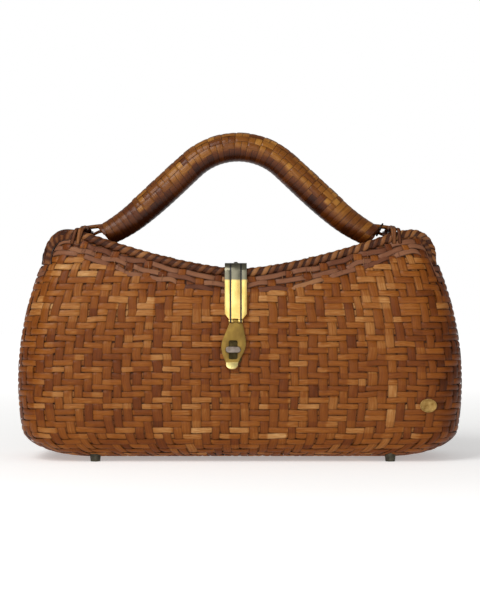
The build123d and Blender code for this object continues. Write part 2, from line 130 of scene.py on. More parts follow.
def metalMaterial(name, look):
    material, tree = newMaterial(name)
    place = addNode(tree, "ShaderNodeTexCoord")
    cloud = addNode(tree, "ShaderNodeTexNoise", {
        "Vector": place.outputs["Object"], "Scale": 1 / (look["stain"] * mm), "Detail": 4.0})
    brush = addNode(tree, "ShaderNodeMapping", {
        "Vector": place.outputs["Object"], "Scale": [1 / (size * mm) for size in look["brush"]]})
    scratch = addNode(tree, "ShaderNodeTexNoise", {"Vector": brush.outputs[0], "Scale": 1.0, "Detail": 3.0})
    mask = addNode(tree, "ShaderNodeMapRange", {
        "Value": cloud.outputs[0],
        "From Min": 0.5 - look["stainSharp"], "From Max": 0.5 + look["stainSharp"]})
    color = addNode(tree, "ShaderNodeMix", {
        0: mask.outputs[0], 6: hexColor(look["clean"]), 7: hexColor(look["stained"])},
        data_type="RGBA").outputs[2]
    metallic = look["metallic"]
    position = addNode(tree, "ShaderNodeSeparateXYZ", {0: place.outputs["Object"]})
    if "wearAndReflection" in look:
        # another colour above or below a height, with a soft edge, for worn metal and for a painted
        # reflection
        start, end, finish = look["wearAndReflection"]
        wearAndReflection = addNode(tree, "ShaderNodeMapRange", {
            "Value": position.outputs[2], "From Min": start * mm, "From Max": end * mm})
        color = addNode(tree, "ShaderNodeMix", {
            0: wearAndReflection.outputs[0], 6: color, 7: hexColor(finish)}, data_type="RGBA").outputs[2]
    if "grooves" in look:
        # black enamel in the two pressed grooves
        middleX, fromMiddle, inner, outer = [size * mm for size in look["grooves"]]
        side = addNode(tree, "ShaderNodeMath", {0: position.outputs[0], 1: middleX}, operation="SUBTRACT")
        away = addNode(tree, "ShaderNodeMath", {0: side.outputs[0]}, operation="ABSOLUTE")
        near = addNode(tree, "ShaderNodeMath", {0: away.outputs[0], 1: fromMiddle}, operation="SUBTRACT")
        size = addNode(tree, "ShaderNodeMath", {0: near.outputs[0]}, operation="ABSOLUTE")
        line = addNode(tree, "ShaderNodeMapRange", {
            "Value": size.outputs[0], "From Min": inner, "From Max": outer, "To Min": 1.0, "To Max": 0.0})
        color = addNode(tree, "ShaderNodeMix", {
            0: line.outputs[0], 6: color, 7: hexColor("#0f0c08")}, data_type="RGBA").outputs[2]
        metallic = addNode(tree, "ShaderNodeMath", {
            0: 1.0, 1: line.outputs[0]}, operation="SUBTRACT").outputs[0]
    rough = addNode(tree, "ShaderNodeMapRange", {
        "Value": scratch.outputs[0], "From Min": 0.3, "From Max": 0.7,
        "To Min": look["roughLow"], "To Max": look["roughHigh"]})
    bump = addNode(tree, "ShaderNodeBump", {
        "Height": scratch.outputs[0], "Strength": look["bump"], "Distance": 0.05 * mm})
    shader = addNode(tree, "ShaderNodeBsdfPrincipled", {
        "Base Color": color, "Metallic": metallic, "Roughness": rough.outputs[0], "Normal": bump.outputs[0]})
    addNode(tree, "ShaderNodeOutputMaterial", {"Surface": shader.outputs[0]})
    return material


# split cane, varnished long ago: warm brown with pale fibres and a satin shine
weftCane = caneMaterial("varnishedSplitCaneWeft", dict(
    fibreLength=9.0, fibreWidth=0.34, fibreTone=0.56, blotch=30.0, blotchTone=0.3,
    ramp=[(0.0, "#492004"), (0.3, "#6d360a"), (0.56, "#864b15"), (0.78, "#a6713c"), (1.0, "#c99d68")],
    edge="#2f1404", edgeStart=0.72, edgeEnd=1.15,
    roughLow=0.34, roughHigh=0.52, bump=0.6, coat=0.08, shine=0.1))
# the same cane in the upright stakes, a shade deeper
warpCane = caneMaterial("varnishedSplitCaneWarp", dict(
    fibreLength=11.0, fibreWidth=0.34, fibreTone=0.52, blotch=26.0, blotchTone=0.3,
    ramp=[(0.0, "#431c03"), (0.3, "#66310a"), (0.56, "#7e4512"), (0.78, "#9d6834"), (1.0, "#be8f5a")],
    edge="#2d1304", edgeStart=0.72, edgeEnd=1.15,
    roughLow=0.36, roughHigh=0.56, bump=0.6, coat=0.07, shine=0.1))
# border strips took up a purple-brown stain
borderCane = caneMaterial("stainedSplitCaneBorder", dict(
    fibreLength=14.0, fibreWidth=0.25, fibreTone=0.4, blotch=18.0, blotchTone=0.4,
    ramp=[(0.0, "#3a180a"), (0.3, "#653a24"), (0.6, "#80543a"), (0.8, "#97683f"), (1.0, "#b58a58")],
    edge="#260f06", edgeStart=0.6, edgeEnd=1.05,
    roughLow=0.42, roughHigh=0.62, bump=0.6, coat=0.05, shine=0.12))
# narrow split cane whipped round the rims, with painted shade where it turns under
stitchCane = caneMaterial("whippedRimCane", dict(
    fibreLength=8.0, fibreWidth=0.25, fibreTone=0.36, blotch=14.0, blotchTone=0.4,
    ramp=[(0.0, "#220b03"), (0.3, "#4f270f"), (0.6, "#7c4c27"), (0.8, "#956438"), (1.0, "#b28252")],
    edge="#190803", edgeStart=0.55, edgeEnd=1.0,
    roughLow=0.36, roughHigh=0.56, bump=0.6, coat=0.08, shine=0.12))
# handle cane rubbed smooth by hands, glossier than the box
gripCane = caneMaterial("polishedHandleCane", dict(
    fibreLength=8.0, fibreWidth=0.34, fibreTone=0.4, blotch=16.0, blotchTone=0.35,
    ramp=[(0.0, "#2c0f03"), (0.3, "#582a08"), (0.56, "#7f4c17"), (0.78, "#a4702e"), (1.0, "#c8954f")],
    edge="#260e03", edgeStart=0.8, edgeEnd=1.15,
    roughLow=0.26, roughHigh=0.42, bump=0.4, coat=0.16, shine=0.14))
# the unvarnished inner faces, dry and matt; the edge distance is in millimetres here, so no edge shows
liningCane = caneMaterial("bareCaneInside", dict(
    fibreLength=6.0, fibreWidth=0.6, fibreTone=0.4, blotch=12.0, blotchTone=0.4,
    ramp=[(0.0, "#1c0d05"), (0.4, "#4a2a14"), (0.7, "#6f4526"), (1.0, "#8f6238")],
    edge="#1a0c06", edgeStart=500.0, edgeEnd=600.0,
    roughLow=0.6, roughHigh=0.8, bump=0.6, coat=0.0, shine=0.2))
# bent sheet brass, bright on the leg, with a painted dull grey reflection round the bend, where it turns
# upwards
strapBrass = metalMaterial("yellowBrassShadedBend", dict(
    stain=9.0, stainSharp=0.16, clean="#f2d584", stained="#d6b362", brush=(0.5, 5.0, 8.0),
    roughLow=0.26, roughHigh=0.42, bump=0.15, metallic=1.0, wearAndReflection=(128.6, 129.6, "#7a7664"),
    grooves=(-3.0, 3.7, 0.55, 0.68)))
# small rolled brass leaves, evenly dulled
hingeBrass = metalMaterial("plainYellowBrass", dict(
    stain=9.0, stainSharp=0.16, clean="#e3c677", stained="#b3924e", brush=(0.5, 5.0, 8.0),
    roughLow=0.3, roughHigh=0.46, bump=0.15, metallic=1.0))
# stamped plate, dull olive with a lift tab rubbed bright
plateBrass = metalMaterial("dullOliveBrass", dict(
    stain=7.0, stainSharp=0.2, clean="#8f7438", stained="#775d30", brush=(0.6, 4.0, 4.0),
    roughLow=0.34, roughHigh=0.52, bump=0.2, metallic=1.0, wearAndReflection=(71.2, 70.2, "#f0dc94")))
# the keeper under the plate, given a dark, dull brass
lockBrass = metalMaterial("darkDullBrass", dict(
    stain=4.0, stainSharp=0.2, clean="#4d4228", stained="#382f1c", brush=(0.8, 3.0, 3.0),
    roughLow=0.45, roughHigh=0.6, bump=0.2, metallic=1.0))
# stamped brass oval with brown tarnish in patches
badgeBrass = metalMaterial("tarnishedBrass", dict(
    stain=3.0, stainSharp=0.25, clean="#b5935a", stained="#7d5c2a", brush=(0.8, 0.8, 2.0),
    roughLow=0.35, roughHigh=0.55, bump=0.4, metallic=1.0))
# turned bar of plain steel
turnSteel = metalMaterial("brushedGreySteel", dict(
    stain=4.0, stainSharp=0.2, clean="#8d8278", stained="#6e6258", brush=(4.0, 0.4, 0.4),
    roughLow=0.36, roughHigh=0.5, bump=0.2, metallic=1.0))
# nailed studs, nearly black with a green tinge
studMetal = metalMaterial("tarnishedStud", dict(
    stain=3.0, stainSharp=0.25, clean="#5c584a", stained="#2f2e27", brush=(1.0, 1.0, 1.0),
    roughLow=0.4, roughHigh=0.6, bump=0.3, metallic=0.9))
# waxed sewing thread
blackThread = caneMaterial("waxedBlackThread", dict(
    fibreLength=1.2, fibreWidth=0.5, fibreTone=0.3, blotch=3.0, blotchTone=0.2,
    ramp=[(0.0, "#080706"), (0.4, "#120f0d"), (0.7, "#1c1815"), (1.0, "#2b2621")],
    edge="#080706", edgeStart=2.0, edgeEnd=3.0,
    roughLow=0.5, roughHigh=0.7, bump=0.6, coat=0.0, shine=0.3))

# the CAD body's form in millimetres, so that the strips can be laid along it
form = dict(
    bellyHalfWidth=159.5, bellyHeight=58.0, sideBulge=217.0,
    bellyHalfDepth=48.5, depthBellyHeight=30.0, frontBulge=487.0,
    corner=28.0, cornerTaper=0.25, baseHeight=3.6, baseRise=19.0, baseInsetX=40.0, baseInsetY=18.0,
    baseArc=29.0, cornerShare=0.85, saddle=137.6, shoulder=165.8, span=116.0, power=1.5,
    shoulderRadius=19.0, joinShare=0.88, lidSide=143.0, lidLow=140.0, lidEnd=134.5, lidEndSoft=2.5,
    rimBand=6.6)
wallFoot = form["baseHeight"] + form["baseRise"]


def boxSection(level):
    # level counts millimetres up the wall from its foot; below zero it runs round the base and in under it
    f = form
    angle = np.clip(1 + level / f["baseArc"], 0, 1) * math.pi / 2
    out = np.sin(angle)
    inset = np.maximum(-level - f["baseArc"], 0)
    z = f["baseHeight"] + f["baseRise"] * (1 - np.cos(angle)) + np.maximum(level, 0)
    frontDepth = f["bellyHalfDepth"] - (z - f["depthBellyHeight"]) ** 2 / (2 * f["frontBulge"])
    halfWidth = f["bellyHalfWidth"] - (z - f["bellyHeight"]) ** 2 / (2 * f["sideBulge"])
    halfWidth = halfWidth - f["baseInsetX"] * (1 - out) - inset
    halfDepth = frontDepth - f["baseInsetY"] * (1 - out) - inset
    radius = f["corner"] - f["cornerTaper"] * (f["bellyHalfDepth"] - frontDepth)
    radius = radius - f["cornerShare"] * f["baseInsetY"] * (1 - out) - inset
    halfDepth = np.maximum(halfDepth, 0.6)
    return halfWidth, halfDepth, np.clip(radius, 0.4, halfDepth), z


# stakes round the box: front, corner, side, corner, back, corner, side, corner
stakes = [38, 6, 6, 6, 38, 6, 6, 6]
stakeStarts = np.concatenate([[0], np.cumsum(stakes)])
stakeCount = int(stakeStarts[-1])


def ringPoint(p, halfWidth, halfDepth, radius):
    p = np.mod(p, stakeCount)
    side = np.clip(np.searchsorted(stakeStarts, p, side="right") - 1, 0, 7)
    share = (p - stakeStarts[side]) / np.array(stakes)[side]
    flatX, flatY = halfWidth - radius, halfDepth - radius
    turn = np.radians(np.select([side == 1, side == 3, side == 5], [-90.0, 0.0, 90.0], 180.0) + 90 * share)
    cornerX = np.where((side == 1) | (side == 3), flatX, -flatX)
    cornerY = np.where((side == 1) | (side == 7), -flatY, flatY)
    flats = [side == number for number in (0, 2, 4, 6)]
    x = np.select(flats, [(2 * share - 1) * flatX, halfWidth, (1 - 2 * share) * flatX, -halfWidth],
                  cornerX + radius * np.cos(turn))
    y = np.select(flats, [-halfDepth, (2 * share - 1) * flatY, halfDepth, (1 - 2 * share) * flatY],
                  cornerY + radius * np.sin(turn))
    return x, y


def vectors(x, y, z):
    return np.stack(np.broadcast_arrays(x, y, z), axis=1)


def wallPoint(p, level):
    halfWidth, halfDepth, radius, z = boxSection(level)
    x, y = ringPoint(p, halfWidth, halfDepth, radius)
    return vectors(x, y, z)


def unit(vectors):
    return vectors / np.maximum(np.linalg.norm(vectors, axis=1, keepdims=True), 1e-9)


def wallFrame(p, level):
    around = wallPoint(p + 0.05, level) - wallPoint(p - 0.05, level)
    up = wallPoint(p, level + 0.2) - wallPoint(p, level - 0.2)
    return wallPoint(p, level), unit(np.cross(around, up))


# the top outline seen from the front, from the left lid end over both shoulders to the right one
def outlineTable():
    f = form
    rise = f["shoulder"] - f["saddle"]
    cornerX = f["lidSide"] - f["shoulderRadius"]
    joinX = f["joinShare"] * f["span"]
    joinZ = f["saddle"] + rise * (joinX / f["span"]) ** f["power"]
    joinSlope = rise * f["power"] / f["span"] * (joinX / f["span"]) ** (f["power"] - 1)
    x = np.linspace(0, cornerX, 125)
    z = f["saddle"] + rise * (np.minimum(x, joinX) / f["span"]) ** f["power"]
    # a cubic blend leads from the saddle's curve to the level shoulder
    t = np.clip((x - joinX) / (cornerX - joinX), 0, 1)
    blend = (2 * t ** 3 - 3 * t ** 2 + 1) * joinZ + (t ** 3 - 2 * t ** 2 + t) * joinSlope * (cornerX - joinX)
    z = np.where(x > joinX, blend + (3 * t ** 2 - 2 * t ** 3) * f["shoulder"], z)
    turn = np.radians(np.linspace(87, 0, 30))
    arcX = cornerX + f["shoulderRadius"] * np.cos(turn)
    arcZ = f["shoulder"] - f["shoulderRadius"] + f["shoulderRadius"] * np.sin(turn)
    downZ = np.linspace(arcZ[-1] - 0.7, f["lidLow"], 9)
    halfX = np.concatenate([x, arcX, np.full(len(downZ), f["lidSide"])])
    half = np.stack([halfX, np.concatenate([z, arcZ, downZ])], axis=1)
    left = half[:0:-1] * [-1, 1]
    return np.concatenate([left, half])


outline = outlineTable()
outlineStep = np.linalg.norm(np.diff(outline, axis=0), axis=1)
outlineRun = np.concatenate([[0], np.cumsum(outlineStep)])
outlineLength = outlineRun[-1]
outlineTangent = unit(np.gradient(outline, axis=0))


def outlineAt(s, inset):
    x, z, tx, tz = [np.interp(s, outlineRun, column) for column in (*outline.T, *outlineTangent.T)]
    length = np.hypot(tx, tz)
    tx, tz = tx / length, tz / length
    return x + inset * tz, z - inset * tx, tx, tz


def edgeY(x, z):
    # how far the front surface stands from the middle plane at a place in the front view
    halfWidth, halfDepth, radius, _ = boxSection(z - wallFoot)
    past = np.clip((np.abs(x) - (halfWidth - radius)) / radius, 0, 0.985)
    return halfDepth - radius + radius * np.sqrt(1 - past ** 2)


partingX, partingZ, _, _ = outlineAt(outlineRun, form["rimBand"])
inside = np.abs(np.gradient(partingX)) > 1e-3
partingX, partingZ = partingX[inside], partingZ[inside]


def partingHeight(x):
    z = np.interp(x, partingX, partingZ)
    side = np.clip((np.abs(x) - form["lidEnd"]) / form["lidEndSoft"], 0, 1)
    return z + (form["lidLow"] - z) * side


def wallTop(p, drop):
    # the level at which the wall meets the lid's edge line, less a drop, found by repeated averaging
    z = np.full(len(p), 145.0)
    for _ in range(12):
        halfWidth, halfDepth, radius, _ = boxSection(z - wallFoot)
        x, _ = ringPoint(p, halfWidth, halfDepth, radius)
        z = 0.5 * z + 0.5 * partingHeight(x)
    return z - wallFoot - drop


def smooth(t):
    t = np.clip(t, 0, 1)
    return t * t * (3 - 2 * t)


def addPiece(name, mesh, material, body):
    mesh.materials.append(material)
    piece = bpy.data.objects.new(name, mesh)
    collection.objects.link(piece)
    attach(piece, body)
    return piece


def makeRibbons(name, count, alongSteps, acrossSteps, shape, material, body, weld=False, solid=None):
    # each ribbon starts as a flat grid; shape lays all of them in place at once
    bm = bmesh.new()
    for k in range(count):
        bmesh.ops.create_grid(bm, x_segments=alongSteps, y_segments=acrossSteps, size=1,
                              matrix=Matrix.Translation((0, 0, k)))
    mesh = bpy.data.meshes.new(name)
    bm.to_mesh(mesh)
    bm.free()
    flat = np.empty(len(mesh.vertices) * 3, np.float32)
    mesh.vertices.foreach_get("co", flat)
    flat = flat.reshape(-1, 3).astype(float)
    u, v, k = (flat[:, 0] + 1) / 2, flat[:, 1], np.rint(flat[:, 2]).astype(int)
    laid = shape(u, v, k)
    points = (laid["points"] + [0, middleY, 0]) * mm
    mesh.vertices.foreach_set("co", points.astype(np.float32).ravel())
    tone = mesh.attributes.new("tone", "FLOAT", "POINT")
    tone.data.foreach_set("value", np.broadcast_to(laid["tone"], u.shape).astype(np.float32))
    corner = np.empty(len(mesh.loops), np.int32)
    mesh.loops.foreach_get("vertex_index", corner)
    across = laid.get("across", v)
    strip = mesh.uv_layers.new(name="strip")
    uv = np.stack([laid["along"][corner], across[corner]], axis=1)
    strip.data.foreach_set("uv", uv.astype(np.float32).ravel())
    mesh.polygons.foreach_set("use_smooth", [True] * len(mesh.polygons))
    mesh.update()
    normals = np.empty(len(mesh.vertices) * 3, np.float32)
    mesh.vertex_normals.foreach_get("vector", normals)
    if (normals.reshape(-1, 3) * laid["normal"]).sum() < 0:
        mesh.flip_normals()
    keep = laid.get("keep")
    if keep is not None or weld:
        bm = bmesh.new()
        bm.from_mesh(mesh)
        bm.verts.ensure_lookup_table()
        if keep is not None:
            bmesh.ops.delete(bm, geom=[vert for vert in bm.verts if not keep[vert.index]], context="VERTS")
        if weld:
            bmesh.ops.remove_doubles(bm, verts=bm.verts, dist=0.01 * mm)
        bm.to_mesh(mesh)
        bm.free()
    piece = addPiece(name, mesh, material, body)
    if solid:
        thick = piece.modifiers.new("thickness", "SOLIDIFY")
        thick.thickness = solid * mm
        thick.offset = -1
    return piece


def weaveTable(rows, columns, slipShare, flipShare):
    # two over and two under, one column on with each row; the maker slips now and then
    slip = np.cumsum(rng.random(rows) < slipShare)
    row, column = np.meshgrid(np.arange(rows), np.arange(columns), indexing="ij")
    table = np.where(np.mod(column - row + slip[:, None], 4) < 2, 1.0, -1.0)
    return np.where(rng.random(table.shape) < flipShare, -table, table)


def crossing(place, limit, sharp=0.2):
    # the two crossings that a place lies between, and how far it has gone from the first to the second
    low = np.floor(place).astype(int)
    t = smooth((place - low - sharp) / (1 - 2 * sharp))
    return np.mod(low, limit), np.mod(low + 1, limit), t


def eased(table, before, after, t):
    # from one entry of a table to another: in a weave 1 is over and -1 under
    return table[before] * (1 - t) + table[after] * t


def wander(count, size, knots):
    # a slow random drift for each ribbon, as a table to read along it
    return rng.normal(0, size, (count, knots))


def readWander(table, k, share):
    knots = table.shape[1]
    place = np.clip(share, 0, 1) * (knots - 1)
    low = np.minimum(place.astype(int), knots - 2)
    t = smooth(place - low)
    return eased(table, (k, low), (k, low + 1), t)


def raised(base, normal, high, tone, along, **more):
    # a ribbon's points, lifted off its base along the normal
    return dict(points=base + normal * high[:, None], normal=normal, tone=tone, along=along, **more)


# about the front stakes' spacing; fibres and frays are measured with it
stakePitch = 7.0
weave = dict(rowLow=4.15, rowGrow=0.0052, warpShare=0.93, weftShare=0.93, lift=0.55, edgeDrop=0.42,
             firstLevel=-57.5, slips=0.1, flips=0.035)
rowLevels = [weave["firstLevel"]]
topLevel = form["shoulder"] - wallFoot
while rowLevels[-1] < topLevel:
    rowLevels.append(rowLevels[-1] + weave["rowLow"] + weave["rowGrow"] * max(rowLevels[-1], 0))
rowLevels = np.array(rowLevels)
rowCount = len(rowLevels)
rowStep = np.gradient(rowLevels)
overs = weaveTable(rowCount, stakeCount, weave["slips"], weave["flips"])
rowDrift = wander(rowCount, 0.32, 48)
rowTilt = rng.normal(0, 0.07, rowCount)
rowTone = rng.normal(0, 0.06, rowCount)
rowWidth = 1 + rng.normal(0, 0.06, rowCount)
stakeDrift = wander(stakeCount, 0.07, 20)
stakeTone = rng.normal(0, 0.07, stakeCount)
stakeWidth = 1 + rng.normal(0, 0.07, stakeCount)
floatTone = rng.normal(0, 0.085, (rowCount + 4, stakeCount + 4))
border = dict(count=3, first=2.2, pitch=4.1, width=3.9, lift=0.6, under=0.7, edgeDrop=0.4, dive=4,
              stakeOver=0.75, stakeUnder=0.6, stakeDark=0.2)
borderDepth = border["first"] + border["pitch"] * (border["count"] - 0.5)
borderDrift = wander(border["count"], 0.85, 70)
borderTone = rng.normal(0, 0.13, (border["count"], stakeCount))


# how much painted light and shade goes into the woven walls' tone
paintedLight = dict(top=0.12, middle=0.06, right=0.05, rightEnd=0.3, leftEnd=0.06)


def paintedLightTone(points):
    # painted light and shade: paler on the upper front, which faces the light, darker half-way down and
    # towards both ends, most at the right end, which is turned from the key light
    x, _, z = points.T
    height = paintedLight["top"] * np.clip(z / 165, 0, 1) - paintedLight["middle"] * smooth(1 - np.abs(z - 75) / 45)
    right = paintedLight["right"] * smooth((x - 20) / 110) + paintedLight["rightEnd"] * smooth((x - 118) / 44)
    return height - right - paintedLight["leftEnd"] * smooth((-x - 110) / 50)


def edgeFall(v, drop):
    # a split strip is flat with rounded edges
    return -drop * np.clip((np.abs(v) - 0.55) / 0.45, 0, 1) ** 2


def layRows(u, v, k):
    p = u * stakeCount
    level = rowLevels[k] + readWander(rowDrift, k, np.mod(u, 1))
    level = level + v * rowStep[k] * weave["weftShare"] * rowWidth[k] / 2
    before, after, t = crossing(p - 0.5, stakeCount)
    high = eased(overs, (k, before), (k, after), t) * weave["lift"]
    high = high + edgeFall(v, weave["edgeDrop"]) + v * rowTilt[k]
    base, normal = wallFrame(p, level)
    nearest = np.where(t < 0.5, before, after)
    # the last term is the wall's painted light and shade
    tone = 0.5 + rowTone[k] + floatTone[k, nearest // 2] + paintedLightTone(base)
    top = wallTop(p, borderDepth)
    return raised(base, normal, high, tone, p * stakePitch, keep=rowLevels[k] < top + 1.0)


def layStakes(u, v, k):
    top = wallTop(k + 0.5, 0.3)
    low = rowLevels[0] - 1.0
    level = low + u * (top - low)
    p = k + 0.5 + readWander(stakeDrift, k, u) + v * weave["warpShare"] * stakeWidth[k] / 2
    before, after, t = crossing(np.interp(level, rowLevels, np.arange(rowCount)), rowCount)
    lift = -eased(overs, (before, k), (after, k), t) * weave["lift"]
    inBorder = smooth((level - (top - borderDepth)) / 3)
    strip = np.clip(((top - level) / border["pitch"]).astype(int), 0, border["count"] - 1)
    over = np.mod(k + 2 * strip, border["dive"]) == 0
    borderLift = np.where(over, border["stakeOver"], -border["stakeUnder"])
    lift = lift * (1 - inBorder) + borderLift * inBorder
    base, normal = wallFrame(p, level)
    high = lift + edgeFall(v, weave["edgeDrop"])
    nearest = np.where(t < 0.5, before, after)
    # the stakes carry the wall's painted light and shade too
    tone = 0.44 + stakeTone[k] + floatTone[nearest // 2, k] + paintedLightTone(base)
    return raised(base, normal, high, tone - border["stakeDark"] * inBorder, level)


def layBorder(u, v, k):
    p = u * stakeCount
    top = wallTop(p, 0.0)
    drop = border["first"] + border["pitch"] * k + readWander(borderDrift, k, np.mod(u, 1))
    level = top - drop + v * border["width"] / 2
    before, after, t = crossing(p - 0.5, stakeCount)
    dives = [np.where(np.mod(cell + 2 * k, border["dive"]) == 0, -border["under"], 1.0)
             for cell in (before, after)]
    high = eased(dives, 0, 1, t) * border["lift"] + edgeFall(v, border["edgeDrop"])
    base, normal = wallFrame(p, level)
    # the border carries half of the wall's painted light and shade
    tone = 0.5 + borderTone[k, np.mod(before + 2 * k, stakeCount) // border["dive"]] + paintedLightTone(base) * 0.5
    return raised(base, normal, high, tone, p * stakePitch)


rows = makeRibbons("caneRows", rowCount, stakeCount * 4, 3, layRows, weftCane,
                   "basket", weld=True)
makeRibbons("caneStakes", stakeCount, rowCount * 4, 3, layStakes, warpCane, "basket")
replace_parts(rows, "basket_shell")
makeRibbons("caneBorder", border["count"], stakeCount * 4, 3, layBorder, borderCane,
            "basket", weld=True)
print("woven box:", rowCount, "rows", stakeCount, "stakes")


def innerFaces(rowAway, columnAway, over):
    # the seams between the strips' inner faces, from 0 on a face to 1 in a seam, and the faces' tone
    rowEdge = smooth((rowAway - 0.3) * 5) * (over < 0)
    columnEdge = smooth((columnAway - 0.3) * 5) * (over > 0)
    sunk = np.maximum(rowEdge, columnEdge)
    return sunk, 0.56 + 0.12 * over - 0.5 * sunk


lining = dict(behind=1.15, relief=0.3, solid=1.4, above=0.4, below=1.5)


def layLining(u, v, k):
    p = u * stakeCount
    top = wallTop(p, -lining["above"])
    low = rowLevels[0] - lining["below"]
    level = low + (v + 1) / 2 * (top - low)
    base, normal = wallFrame(p, level)
    row = np.interp(level, rowLevels, np.arange(rowCount))
    over = overs[np.rint(row).astype(int), np.mod(np.floor(p).astype(int), stakeCount)]
    sunk, tone = innerFaces(np.abs(row - np.rint(row)), np.abs(np.mod(p, 1) - 0.5), over)
    high = lining["relief"] * sunk - lining["behind"]
    return raised(base, normal, high, tone, p * stakePitch, across=level)


makeRibbons("caneLining", 1, stakeCount * 4, rowCount * 3, layLining, liningCane,
            "basket", weld=True, solid=lining["solid"])
print("lining")

# the lid's woven top follows the outline between the two rims
lid = dict(inset=1.7, crossStrips=54, longStrips=13, lift=0.45, sideGap=2.4, under=2.4, narrowed=0.93,
           edgeDrop=0.4, relief=0.3, solid=1.2)
lidOvers = weaveTable(lid["crossStrips"], lid["longStrips"], 0.0, 0.03)
lidTone = rng.normal(0, 0.13, (lid["crossStrips"], lid["longStrips"]))
lidDrift = wander(lid["crossStrips"], 0.25, 6)


def lidPoint(s, w, inset):
    x, z, tx, tz = outlineAt(s, inset)
    y = w * (edgeY(x, z) - lid["sideGap"])
    return vectors(x, y, z), vectors(-tz, 0, tx)


def layLidCross(u, v, k):
    s = (k + 0.5 + v * lid["narrowed"] / 2) * outlineLength / lid["crossStrips"] + readWander(lidDrift, k, u)
    place = np.clip(u * lid["longStrips"] - 0.5, 0, lid["longStrips"] - 1.001)
    before, after, t = crossing(place, lid["longStrips"])
    high = eased(lidOvers, (k, before), (k, after), t) * lid["lift"] + edgeFall(v, lid["edgeDrop"])
    base, normal = lidPoint(np.clip(s, 0, outlineLength), 2 * u - 1, lid["inset"])
    return raised(base, normal, high, 0.46 + lidTone[k, np.where(t < 0.5, before, after)], u * 90)


def layLidLong(u, v, k):
    s = u * outlineLength
    place = np.clip(u * lid["crossStrips"] - 0.5, 0, lid["crossStrips"] - 1.001)
    before, after, t = crossing(place, lid["crossStrips"])
    high = edgeFall(v, lid["edgeDrop"]) - eased(lidOvers, (before, k), (after, k), t) * lid["lift"]
    w = 2 * (k + 0.5 + v * lid["narrowed"] / 2) / lid["longStrips"] - 1
    base, normal = lidPoint(s, w, lid["inset"])
    return raised(base, normal, high, 0.5 + lidTone[np.where(t < 0.5, before, after), k], s)


def layLidUnder(u, v, k):
    s = u * outlineLength
    base, normal = lidPoint(s, v * 1.02, lid["under"])
    cross, long = u * lid["crossStrips"], (v + 1) / 2 * lid["longStrips"]
    over = lidOvers[np.minimum(cross.astype(int), lid["crossStrips"] - 1),
                    np.minimum(long.astype(int), lid["longStrips"] - 1)]
    sunk, tone = innerFaces(np.abs(np.mod(cross, 1) - 0.5), np.abs(np.mod(long, 1) - 0.5), over)
    return raised(base, normal, lid["relief"] * (sunk - 1), tone, s, across=v * 45)


lidCross = makeRibbons("lidCrossStrips", lid["crossStrips"], lid["longStrips"] * 4, 3, layLidCross, weftCane,
                       "lid")
makeRibbons("lidLongStrips", lid["longStrips"], lid["crossStrips"] * 4, 3, layLidLong, warpCane,
            "lid")
makeRibbons("lidUnderside", 1, lid["crossStrips"] * 6, lid["longStrips"] * 6, layLidUnder, liningCane,
            "lid", solid=lid["solid"])
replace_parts(lidCross, "lid_panel")
print("woven lid")

# whip-stitched rolls along the lid's front and back edges
strapLow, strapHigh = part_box("hasp_strap")
hasp = dict(x=(strapLow.x + strapHigh.x) / 2 / mm, half=(strapHigh.x - strapLow.x) / 2 / mm, bend=6.5,
            front=strapLow.y / mm - middleY, edgeX=10.8, above=1.75, room=5.4)
roll = dict(inset=3.5, deep=2.0, tall=3.1, proud=1.0, taper=16.0)
stitch = dict(pitch=6.1, width=4.6, lean=3.4, lift=0.6, edgeDrop=0.7, start=-125, sweep=330, pressed=0.55)
stitchCount = int(outlineLength / stitch["pitch"])
stitchTone = rng.normal(0, 0.13, 2 * stitchCount)
stitchShift = rng.normal(0, 0.45, 2 * stitchCount)
stitchWidth = 1 + rng.normal(0, 0.09, 2 * stitchCount)
saddleRise = (form["shoulder"] - form["saddle"]) * (hasp["edgeX"] / form["span"]) ** form["power"]
strapTop = form["saddle"] + hasp["above"] + saddleRise


def rollPoint(s, angle, lift, face):
    # angle 0 looks outwards, 90 up along the outline's normal
    x, z, tx, tz = outlineAt(s, roll["inset"])
    end = np.minimum(s, outlineLength - s)
    size = 0.5 + 0.5 * smooth(end / roll["taper"])
    turn = np.radians(angle)
    out = (roll["deep"] * size + lift) * np.cos(turn)
    up = (roll["tall"] * size + lift) * np.sin(turn)
    y = face * (edgeY(x, z) - roll["proud"] + out)
    points = vectors(x - tz * up, y, z + tx * up)
    normal = vectors(-tz * np.sin(turn), face * np.cos(turn), tx * np.sin(turn))
    # under the strap's bend the roll is pressed round
    bendY, bendZ = hasp["front"] + hasp["bend"] + 0.5, strapTop - hasp["bend"] + 0.5
    reach = np.hypot(points[:, 1] - bendY, points[:, 2] - bendZ)
    under = np.abs(points[:, 0] - hasp["x"]) < hasp["half"] + 0.8
    under = under & (points[:, 1] < bendY) & (points[:, 2] > bendZ) & (reach > hasp["room"])
    pull = np.where(under, hasp["room"] / np.maximum(reach, 1e-6), 1)
    points[:, 1] = bendY + (points[:, 1] - bendY) * pull
    points[:, 2] = bendZ + (points[:, 2] - bendZ) * pull
    return points, normal


